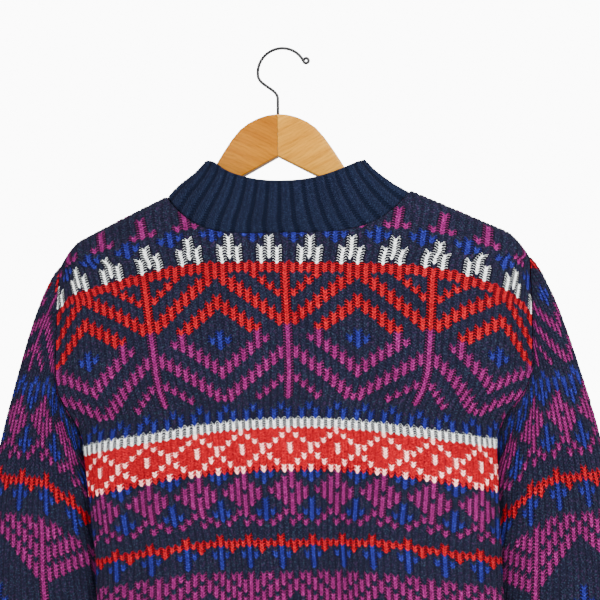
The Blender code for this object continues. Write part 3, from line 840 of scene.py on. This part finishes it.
def wool_group():
    """Woollen yarn, knitted with two strands held together, drawn on stitch coordinates with
    the yarn numbers of the stitch and of those beside it. A bright stitch stands over a darker
    one next to it. Gives the mixed colour, darkened with painted shade in the valleys between the
    wales and at the partings of the strands, and the height of strands and fibres."""
    group = bpy.data.node_groups.new("stranded_wool_yarn", "ShaderNodeTree")
    group.interface.new_socket("Flecks", in_out="INPUT", socket_type="NodeSocketFloat")
    group.interface.new_socket("Color", in_out="OUTPUT", socket_type="NodeSocketColor")
    group.interface.new_socket("Relief", in_out="OUTPUT", socket_type="NodeSocketFloat")
    flecks = node(group, "NodeGroupInput", -2500).outputs["Flecks"]
    coords = node(group, "ShaderNodeTexCoord", -2500, 500).outputs["Object"]

    def maths(x, y, operation, *values):
        values = dict(enumerate(values))
        return node(group, "ShaderNodeMath", x, y, values, operation=operation).outputs["Value"]

    def spread(x, y, *values):
        """Spreads a value from the range of two numbers to 0 to 1, or to two more numbers."""
        values = dict(enumerate(values))
        return node(group, "ShaderNodeMapRange", x, y, values).outputs["Result"]

    def noise(y, scale, detail):
        values = {"Vector": coords, "Scale": scale, "Detail": detail}
        return node(group, "ShaderNodeTexNoise", -2200, y, values).outputs["Fac"]

    def blend(x, y, factor, first, second):
        values = {"Factor": factor, "A": first, "B": second}
        return node(group, "ShaderNodeMix", x, y, values, data_type="RGBA").outputs["Result"]

    def number(y, name):
        return node(group, "ShaderNodeAttribute", -2200, y, attribute_name=name).outputs["Fac"]

    def dye(y, number_socket, part):
        """Colour of one part of the yarn table, picked by the yarn's number."""
        step = 1 / len(YARNS)
        clear = [1.0 if part else yarn[4] for yarn in YARNS]
        stops = [(i * step, (*yarn[part], clear[i])) for i, yarn in enumerate(YARNS)]
        place = maths(-700, y, "MULTIPLY_ADD", number_socket, step, step / 2)
        colour = ramp(group, place, stops, -500, y)
        colour.node.color_ramp.interpolation = "CONSTANT"
        return colour

    fine, spots, broad = noise(600, 620.0, 2.0), noise(350, 410.0, 1.0), noise(100, 26.0, 3.0)
    stitches = node(group, "ShaderNodeUVMap", -2500, -400, uv_map="stitches").outputs["UV"]
    parts = node(group, "ShaderNodeSeparateXYZ", -2300, -400, {"Vector": stitches}).outputs
    # Across the wale: 0 in its middle, 0.5 in the valley. Down the stitch: two strands in a row.
    leg = maths(-1950, -300, "SUBTRACT", maths(-2100, -300, "FRACT", parts["X"]), 0.5)
    aside = maths(-1800, -300, "ABSOLUTE", leg)
    wavy = maths(-2100, -550, "MULTIPLY_ADD", spots, 0.5, -0.25)
    double = maths(-1950, -550, "MULTIPLY_ADD", parts["Y"], 2.0, wavy)
    strand = maths(-1650, -550, "MULTIPLY", maths(-1800, -550, "PINGPONG", double, 0.5), 2.0)
    down = maths(-1950, -800, "FRACT", parts["Y"])

    # Yarn that shows here: the stitch's own, or a brighter one above, below or beside it
    uneven = maths(-1800, -1000, "MULTIPLY_ADD", fine, 0.5, -0.25)
    low = maths(-1600, -1000, "ADD", spread(-1800, -1150, aside, 0.0, 0.36, 0.06, 0.0), uneven)
    high = maths(-1600, -1300, "ADD", spread(-1800, -1300, aside, 0.0, 0.36, 0.95, 0.78), uneven)
    shown = number(-1200, "yarn")
    for y, name, where, test, limit in (
        (-1100, "yarn_above", down, "LESS_THAN", low),
        (-1300, "yarn_below", down, "GREATER_THAN", high),
        (-1500, "yarn_beside", aside, "GREATER_THAN", 0.40),
    ):
        here = maths(-1500, y, test, where, limit)
        over = maths(-1400, y, "MULTIPLY", number(y - 300, name), here)
        shown = maths(-1250, y, "MAXIMUM", shown, over)
    wool_colour, light, deep, shadow = (dye(700 - 300 * part, shown, part) for part in range(4))

    # Painted shade, darkening toward the shadow colour: the valley between the wales, the parting
    # of two strands, the V's middle
    depth_and_shade = number(-2000, "valley_depth_and_shade")
    wide = maths(-1600, -300, "MULTIPLY_ADD", depth_and_shade, -0.12, 0.295)
    edge = maths(-1450, -300, "MULTIPLY_ADD", strand, 0.15, wide)
    valley = spread(-1200, -300, aside, edge, maths(-1300, -400, "ADD", edge, 0.05))
    clear = wool_colour.node.outputs["Alpha"]
    crossing = maths(-250, -550, "MULTIPLY", spread(-900, -550, strand, 0.62, 0.92), clear)
    open_valley = maths(-900, -300, "MULTIPLY", valley, depth_and_shade)
    uncrossed = maths(-150, -550, "SUBTRACT", 1.0, crossing)
    between = maths(-50, -400, "MULTIPLY", open_valley, uncrossed)
    parting = spread(-900, -800, strand, 0.42, 0.05)
    middle = spread(-900, -1000, aside, 0.14, 0.02, 0.30, 0.85)
    split = maths(-50, -800, "MULTIPLY", parting, middle)
    dark = maths(100, -500, "MAXIMUM", between, split)

    first = maths(-1100, 600, "MULTIPLY", spread(-1300, 600, fine, 0.54, 0.68), flecks)
    second = maths(-1100, 350, "MULTIPLY", spread(-1300, 350, spots, 0.56, 0.68), flecks)
    dyed = blend(0, 500, first, wool_colour, light)
    dyed = blend(200, 400, second, dyed, deep)
    cloudy = spread(-1300, 100, broad, 0.3, 0.7, 0.88, 1.10)
    fibres = spread(-1300, -100, fine, 0.3, 0.7, 0.66, 1.32)
    toned = node(group, "ShaderNodeVectorMath", 400, 300, operation="SCALE")
    tone = maths(-900, 100, "MULTIPLY", cloudy, fibres)
    set_inputs(group, toned, {0: dyed, "Scale": tone})
    round_strand = maths(100, -200, "POWER", strand, 0.6)
    sunk = maths(300, -300, "MULTIPLY_ADD", open_valley, -0.55, round_strand)
    # The colour is blended toward the shadow colour where the painted shade lies.
    node(group, "NodeGroupOutput", 1100, 0, {
        "Color": blend(700, 200, dark, toned.outputs["Vector"], shadow),
        "Relief": maths(500, -300, "MULTIPLY_ADD", fine, 0.5, sunk),
    })
    return group


wool_yarn = wool_group()


def wool(name, flecks, sheen):
    material, tree, shader = new_material(name)
    yarn = node(
        tree, "ShaderNodeGroup", -500, 0, {"Flecks": flecks}, node_tree=wool_yarn
    ).outputs
    bump = node(tree, "ShaderNodeBump", -250, -300, {
        "Height": yarn["Relief"], "Strength": 0.9, "Distance": 0.0008,
    })
    set_inputs(tree, shader, {
        "Base Color": yarn["Color"], "Normal": bump.outputs["Normal"], "Roughness": 0.95,
        "Specular IOR Level": 0.05, "Sheen Weight": sheen, "Sheen Roughness": 0.5,
        "Sheen Tint": (0.30, 0.22, 0.36, 1.0),
    })
    return material


stranded_wool = wool("stranded_wool", 0.9, 0.02)

for side, panel, seed in ((-1, "back", 11), (1, "front", 23)):
    outside, inside = knit_both_sides(
        (f"{panel}_panel", f"{panel}_floats"), panel, WALES, (FIRST_ROW, LAST_ROW),
        panel_place(side, wale_table(side)), body_yarn, seed, turned=side > 0,
    )


# --- Sleeves ------------------------------------------------------------------------------
# Each is a tube of the same knitting, worked from the armhole down and narrowed by taking
# stitches in along the seam under the arm. Empty, it falls into a flattened tube.
SLEEVE_ROWS = (16, 91)
SLEEVE_WALES = 60
TOP_STITCHES, END_STITCHES = 59.0, 36.0
UNDERARM_ROW, CAP_ROWS, CAP_SHARE = 33.0, 15.0, 0.32  # the rows start higher at the shoulder
ROUND_TO_LENGTH = 0.8  # the tube's length round, as a share of its length down
# Outer edge x and z, inner edge x and z, half depth, y, roundness
SLEEVE_RINGS = (
    (0.2600, -0.230, 0.2100, -0.4110, 0.030, 0.0450, 0.25),
    (0.2790, -0.272, 0.2090, -0.4200, 0.031, 0.0485, 0.50),
    (0.3010, -0.338, 0.2070, -0.4350, 0.032, 0.0555, 0.85),
    (0.3190, -0.402, 0.2058, -0.4600, 0.032, 0.0590, 1.0),
    (0.3320, -0.465, 0.2070, -0.4980, 0.031, 0.0590, 1.0),
    (0.3430, -0.532, 0.2100, -0.5500, 0.030, 0.0580, 1.0),
    (0.3500, -0.596, 0.2145, -0.6060, 0.029, 0.0575, 1.0),
    (0.3530, -0.652, 0.2230, -0.6600, 0.028, 0.0570, 1.0),
    (0.3490, -0.684, 0.2330, -0.6920, 0.026, 0.0560, 1.0),
    (0.3400, -0.700, 0.2440, -0.7080, 0.023, 0.0550, 1.0),
)
# Start and end as (share round from the outer edge, share down), half width, depth
SLEEVE_FOLDS = (
    ((0.46, 0.12), (0.22, 0.34), 0.055, 0.0050),
    ((0.48, 0.40), (0.16, 0.52), 0.045, 0.0045),
    ((0.05, 0.58), (0.34, 0.70), 0.045, 0.0035),
    ((-0.46, 0.15), (-0.20, 0.38), 0.055, 0.0050),
    ((-0.47, 0.44), (-0.10, 0.60), 0.045, 0.0040),
    ((-0.08, 0.72), (-0.36, 0.82), 0.040, 0.0030),
)


def run_along(points):
    """Distance along a line at each of its points."""
    steps = np.linalg.norm(np.diff(points, axis=0), axis=1)
    return np.concatenate(((0.0,), np.cumsum(steps)))


def at_shares(line, shares):
    """Points of an open line at shares of its length."""
    reached = run_along(line)
    targets = np.asarray(shares) * reached[-1]
    return np.stack([np.interp(targets, reached, line[:, i]) for i in range(3)], axis=-1)


def through(rings, count):
    """Smooth surface through rings of points, as count rings in equal steps."""
    reached = run_along(rings.mean(axis=1))
    places = np.interp(np.linspace(0.0, reached[-1], count), reached, np.arange(len(rings)))
    low = np.minimum(places.astype(int), len(rings) - 2)
    t = (places - low)[:, None, None]
    before, after = np.maximum(low - 1, 0), np.minimum(low + 2, len(rings) - 1)
    p0, p1, p2, p3 = rings[before], rings[low], rings[low + 1], rings[after]
    bend = (2 * p0 - 5 * p1 + 4 * p2 - p3) * t**2 + (3 * p1 - p0 - 3 * p2 + p3) * t**3
    return p1 + 0.5 * ((p2 - p0) * t + bend)


def sleeve_surface(side):
    """Table of points: rows down the sleeve, columns round it from the inner seam over the
    front, the outer edge and the back to the inner seam again."""
    turn = np.linspace(0.0, math.pi, 61)
    down = (1 - np.cos(turn)) / 2
    top, bottom = float(shoulder_z(BODY_SECTIONS[-1, 1])), UNDERARM_Z
    z = top + (bottom - top) * down
    ones = np.ones_like(z)
    gaps = {s: s * (panel_offset(s, ones, z) + SEAM / 2) for s in (-1, 1)}
    widest = max(np.abs(gap).max() for gap in gaps.values())
    widths = half_width(np.array((top, bottom)), side)
    bulge = half_width(z, side) - (widths[0] + (widths[1] - widths[0]) * down)
    rings = []
    for ring in (None,) + SLEEVE_RINGS:
        halves = {}
        for s in (-1, 1):
            if ring is None:
                x = half_width(z, side) + SEAM * 2
                y, height = contour(GARMENT_X + side * x) + gaps[s], z
            else:
                outer_x, outer_z, inner_x, inner_z, half_depth, middle_y, roundness = ring
                inner_x = inner_x + half_width(inner_z, side) - half_width(inner_z, 1)
                depth = gaps[s] / widest * (1 - roundness) + s * np.sin(turn) * roundness
                x = outer_x + (inner_x - outer_x) * down + bulge * (1 - roundness)
                y, height = middle_y + depth * half_depth, outer_z + (inner_z - outer_z) * down
            halves[s] = np.stack((GARMENT_X + side * x, y, height), axis=-1)
        front, back = (at_shares(halves[s], np.linspace(0.0, 1.0, 81)) for s in (1, -1))
        rings.append(np.concatenate((front[::-1], back[1:])))
    table = through(np.array(rings), 121)
    round_, along = np.meshgrid(np.linspace(-0.5, 0.5, 161), np.linspace(0.0, 1.0, 121))
    push = np.zeros_like(round_)
    for (s0, q0), (s1, q1), half, deep in SLEEVE_FOLDS:
        ds, dq = (s1 - s0) * ROUND_TO_LENGTH, q1 - q0
        aside, below = (round_ - s0) * ROUND_TO_LENGTH, along - q0
        t = np.clip((aside * ds + below * dq) / (ds**2 + dq**2), 0.0, 1.0)
        gap = np.hypot(aside - ds * t, below - dq * t)
        push += deep * np.exp(-((gap / half) ** 2)) * smooth((1 - along) * 12)
    table = table - table_normals(table, side) * push[..., None]
    return table, table_normals(table, side)


def table_normals(table, side):
    around, downward = np.gradient(table, axis=1), np.gradient(table, axis=0)
    normals = np.cross(around, downward) * side
    length = np.linalg.norm(normals, axis=-1, keepdims=True)
    return normals / np.maximum(length, 1e-12)


def sleeve_place(side):
    table, normals = sleeve_surface(side)
    steps = np.linalg.norm(np.diff(table, axis=0), axis=2)
    reached = np.concatenate((np.zeros((1, table.shape[1])), np.cumsum(steps, axis=0)))
    reached = reached / reached[-1]
    around = np.linspace(-0.5, 0.5, table.shape[1])
    first = UNDERARM_ROW - CAP_ROWS * smooth((CAP_SHARE - np.abs(around)) / CAP_SHARE)
    last_row = SLEEVE_ROWS[1] - 1
    wanted = np.linspace(*SLEEVE_ROWS, 151)
    share_down = []
    for i in range(table.shape[1]):
        rows = first[i] + (last_row - first[i]) * reached[:, i]
        level = np.interp(wanted, rows, np.linspace(0.0, 1.0, len(rows)))
        level = np.where(wanted < rows[0], -0.05, np.where(wanted > rows[-1], 1.05, level))
        share_down.append(level)
    share_down = np.array(share_down).T

    def place(wale, row):
        down = np.clip((row - 30) / 60, 0.0, 1.0)
        for _ in range(6):
            stitches = np.interp(down, (0.0, 1.0), (TOP_STITCHES, END_STITCHES))
            share = -side * (wale - SLEEVE_WALES / 2) / stitches
            level = (row - SLEEVE_ROWS[0]) / (SLEEVE_ROWS[1] - SLEEVE_ROWS[0])
            down = look_up(share_down, share + 0.5, level)
        gone = np.where(down <= 0.0, 1, 0) + np.where(down >= 1.0, 2, 0)
        gone = gone + np.where(share <= -0.5, 4, 0) + np.where(share >= 0.5, 8, 0)
        point, normal = (
            np.stack([look_up(values[..., i], share + 0.5, down) for i in range(3)], axis=-1)
            for values in (table, normals)
        )
        return point, normal, gone

    return place


def sleeve_yarn(column, row):
    """The body's bands without the white and red one."""
    return body_yarn(column - 3, row if row >= 38 else row - 10)


for side, name, seed in ((-1, "left", 37), (1, "right", 51)):
    outside, inside = knit_both_sides(
        (f"sleeve_{name}", f"sleeve_floats_{name}"), f"sleeve_{name}", SLEEVE_WALES, SLEEVE_ROWS,
        sleeve_place(side), sleeve_yarn, seed,
    )


# --- Ribbed bands -------------------------------------------------------------------------
# Hem, cuffs and funnel collar are knitted in plain navy, two stitches out and two in, on
# finer needles than the rest. Their stitches are picked up along the edges of the pieces.
CUFF_RINGS = (
    (0.3400, -0.7005, 0.2440, -0.7085, 0.0230, 0.055),
    (0.3400, -0.7330, 0.2460, -0.7410, 0.0225, 0.054),
    (0.3410, -0.7640, 0.2480, -0.7720, 0.0230, 0.053),
)
# Side x and z, back y and z, front y and z, bow
COLLAR_RINGS = (
    (0.1110, -0.1405, -0.0310, -0.1835, 0.0390, -0.2230, 3.6),
    (0.1005, -0.1335, -0.0325, -0.1735, 0.0405, -0.2130, 3.2),
    (0.0915, -0.1268, -0.0335, -0.1635, 0.0415, -0.2030, 2.8),
    (0.0850, -0.1205, -0.0340, -0.1535, 0.0420, -0.1930, 2.5),
    (0.0812, -0.1165, -0.0345, -0.1425, 0.0420, -0.1830, 2.2),
)
COLLAR_ROUNDING, COLLAR_LEAN = 0.34, 0.0035  # it leans to the left
CORNER_RISE, CORNER_SHARE, CORNER_WIDTH = 0.0042, -0.92, 0.13  # its left corner stands up
PICK_UP = 0.0012  # the picked-up edge lies this much below the neck's edge
RIB_WALL, RIB_RISE = 0.0042, 0.0019
RIB_PLY = (0.0, 0.10, 0.20, 0.31, 0.42, 0.52, 0.62, 0.81)
RIB_UNEVEN, RIM_BULGE = 0.06, 0.0012
RIB_HEIGHT = np.array((0.0, 0.75, 1.0, 0.52, 1.0, 0.75, 0.0, -0.12))
RIB_POINT = np.array((0.0, 0.35, 0.5, 0.0, 0.5, 0.35, 0.0, 0.3))


def neck_line():
    halves = []
    for side, direction in ((-1, 1), (1, -1)):
        x = direction * NECK_X * np.sin(np.linspace(-1, 1, 121) * math.pi / 2)
        z = neck_z(x, side)
        offset = panel_offset(side, x / half_width(z, x), z) + SEAM / 2
        y = contour(GARMENT_X + x) + side * offset
        halves.append(np.stack((GARMENT_X + x, y, z - PICK_UP), axis=-1))
    return halves


def collar_line(ring):
    side_x, side_z, back_y, back_z, front_y, front_z, bow = ring
    halves = []
    for direction, middle_y, middle_z in ((1, back_y, back_z), (-1, front_y, front_z)):
        share = direction * np.sin(np.linspace(-1, 1, 121) * math.pi / 2)
        x = GARMENT_X + share * side_x - COLLAR_LEAN * np.maximum(-share, 0.0) ** 3
        blunt = np.maximum(1 - share**2, 0.0) ** COLLAR_ROUNDING
        y = contour(x) + (middle_y - contour(GARMENT_X)) * blunt
        z = side_z + (middle_z - side_z) * (1 - np.abs(share) ** bow)
        z = z + CORNER_RISE * np.exp(-(((share - CORNER_SHARE) / CORNER_WIDTH) ** 2))
        halves.append(np.stack((x, y, z), axis=-1))
    return halves


def hem_line(level):
    halves = []
    for side, direction in ((-1, 1), (1, -1)):
        share = direction * np.sin(np.linspace(-1, 1, 241) * math.pi / 2)
        z = level + HEM_ARCH * (1 - share**2)
        x = GARMENT_X + share * half_width(z, share)
        y = contour(x) + side * (panel_offset(side, share, z) + SEAM / 2)
        halves.append(np.stack((x, y, z), axis=-1))
    return halves


def cuff_line(side, ring):
    outer_x, outer_z, inner_x, inner_z, half_depth, middle_y = ring
    extra_at = CUFF_RINGS[0][3]
    inner_x = inner_x + half_width(extra_at, side) - half_width(extra_at, 1)
    halves = []
    for start in (0.0, math.pi):
        turn = np.linspace(start, start + math.pi, 61)
        x = (outer_x + inner_x) / 2 + (outer_x - inner_x) / 2 * np.cos(turn)
        z = (outer_z + inner_z) / 2 + (outer_z - inner_z) / 2 * np.cos(turn)
        y = middle_y - half_depth * np.sin(turn)
        halves.append(np.stack((GARMENT_X + side * x, y, z), axis=-1))
    return halves


def rib_band(name, lines, ribs, rows, yarn, seed):
    """Tube of rib on closed lines, from the picked-up edge to the free edge, turned over at the
    free edge and carried back inside so that it has a thickness."""
    half = ribs // 2
    shares = [(rib + part) / half for rib in range(half) for part in RIB_PLY]
    rings = np.array([np.concatenate([at_shares(side, shares) for side in line]) for line in lines])
    fine = through(rings, 41)
    columns = fine.shape[1]
    around = np.roll(fine, -1, axis=1) - np.roll(fine, 1, axis=1)
    normals = np.cross(around, np.gradient(fine, axis=0))
    normals /= np.linalg.norm(normals, axis=-1, keepdims=True)
    centre = fine.mean(axis=(0, 1))
    if (normals * (fine - centre)).sum() < 0:
        normals = -normals
    rng = np.random.default_rng(seed)
    steps = []  # share of the height, share of the thickness, relief, row
    for i in range(rows * 2 + 1):
        steps.append((i / (rows * 2), 0.0, 1.0 if i % 2 else 0.82, i / 2))
    for turned in (0.14, 0.5, 0.86):
        steps.append((1.0, turned, 0.5, rows + turned))
    for i in range(rows, -1, -1):
        steps.append((i / rows, 1.0, -0.7 if i % 2 else -0.55, rows + 1 + rows - i))
    band, column, line = flat_grid(columns, len(steps))
    share, layer, relief, row = np.array(steps)[line % len(steps)].T
    station, rib = column % len(RIB_PLY), column % columns // len(RIB_PLY)
    uneven = rng.normal(0.0, RIB_UNEVEN, (len(steps), ribs))[line % len(steps), rib]
    zigzag = np.where(layer == 0, RIB_POINT[station] / rows, 0.0)
    low = np.clip(share + zigzag * np.minimum(1.0, (1 - share) * rows), 0.0, 1.0)
    spot = column % columns
    level = low * (len(fine) - 1)
    base = np.minimum(level.astype(int), len(fine) - 2)
    blend = (level - base)[:, None]
    point = fine[base, spot] * (1 - blend) + fine[base + 1, spot] * blend
    normal = normals[base, spot] * (1 - blend) + normals[base + 1, spot] * blend
    onward = fine[-1, spot] - fine[-3, spot]
    onward /= np.linalg.norm(onward, axis=-1, keepdims=True)
    bulge = np.where((layer > 0) & (layer < 1), RIM_BULGE * np.sin(layer * math.pi), 0.0)
    push = (RIB_HEIGHT[station] * (1 + uneven) * relief - 1.0) * RIB_RISE - layer * RIB_WALL
    set_points(band, hang(point + normal * push[:, None] + onward * bulge[:, None]))
    part = np.interp(np.array(RIB_PLY)[station], (0.0, 0.31, 0.62, 0.81), (0.26, 0.5, 0.74, 1.0))
    run = np.where(line < len(steps), row, rows * 2 + 2)
    lay_stitches(band.data, column // len(RIB_PLY) + part, run)
    plain = np.full(len(band.data.polygons), float(RIB_NAVY))
    # The rib's valleys are darkened with painted shade.
    number_yarns(band.data, plain, plain, plain, plain, np.full(len(plain), 0.9))
    weld(band, 0.000001)
    bpy.ops.object.shade_smooth()
    band.data.materials.append(yarn)
    band.name = band.data.name = name
    return band


rib_wool = wool("navy_rib_wool", 0.6, 0.02)
collar_lines = [neck_line()] + [collar_line(ring) for ring in COLLAR_RINGS]
hem_lines = [hem_line(level - SEAM) for level in (HEM_SEAM_Z, -0.733, -0.754, HEM_Z)]
collar = rib_band("funnel_collar", collar_lines, 36, 14, rib_wool, 5)
hem = rib_band("hem_band", hem_lines, 64, 18, rib_wool, 6)
bands = [(collar, "collar", (0.50, 0.05)), (hem, "hem_rib", (0.95, 0.065))]
for side, name in ((-1, "left"), (1, "right")):
    cuff_lines = [cuff_line(side, ring) for ring in CUFF_RINGS]
    cuff = rib_band(f"cuff_band_{name}", cuff_lines, 20, 18, rib_wool, 8 + side)
    bands.append((cuff, f"cuff_{name}", (0.24, 0.065)))
for band, solid, flat in bands:
    give(band, solid)


# --- Floor and light ----------------------------------------------------------------------
# A pale matt floor well below the hem, and soft light from large lamps: the key stands high
# at the right, a weaker one at the left.
bpy.ops.object.select_all(action="DESELECT")
bpy.ops.mesh.primitive_plane_add(size=8.0, location=(0.0, 0.0, -1.05))
floor = bpy.context.object
floor.name = "floor"
pale, tree, shader = new_material("pale_floor")
set_inputs(tree, shader, {"Base Color": (0.85, 0.85, 0.85, 1.0), "Roughness": 0.9})
floor.data.materials.append(pale)

world = bpy.data.worlds.new("studio")
bpy.context.scene.world = world
world.use_nodes = True
tree = world.node_tree
tree.nodes.clear()
seen = node(tree, "ShaderNodeBackground", -200, 100, {
    "Color": (1.0, 1.0, 1.0, 1.0), "Strength": 11.0,
}).outputs["Background"]
lighting = node(tree, "ShaderNodeBackground", -200, -100, {
    "Color": (0.97, 0.98, 1.0, 1.0), "Strength": 1.5,
}).outputs["Background"]
path = node(tree, "ShaderNodeLightPath", -450)
mixed = node(tree, "ShaderNodeMixShader", 0, 0, {
    "Fac": path.outputs["Is Camera Ray"], 1: lighting, 2: seen,
})
node(tree, "ShaderNodeOutputWorld", 200, 0, {"Surface": mixed.outputs["Shader"]})


def lamp(name, place, target, size, power, colour=(1.0, 1.0, 1.0)):
    light = bpy.data.lights.new(name, "AREA")
    light.size, light.energy, light.color = size, power, colour
    lamp_object = bpy.data.objects.new(name, light)
    lamp_object.location = place
    aim = Vector(target) - Vector(place)
    lamp_object.rotation_euler = aim.to_track_quat("-Z", "Y").to_euler()
    bpy.context.scene.collection.objects.link(lamp_object)


lamp("key", (1.05, -1.75, 0.75), (0.05, 0.0, -0.40), 0.7, 130.0, (1.0, 0.99, 0.97))
lamp("fill", (-1.2, -1.9, -0.2), (0.0, 0.0, -0.45), 1.4, 42.0)
lamp("rear", (0.3, 1.8, 0.9), (0.0, 0.0, -0.35), 1.4, 60.0)
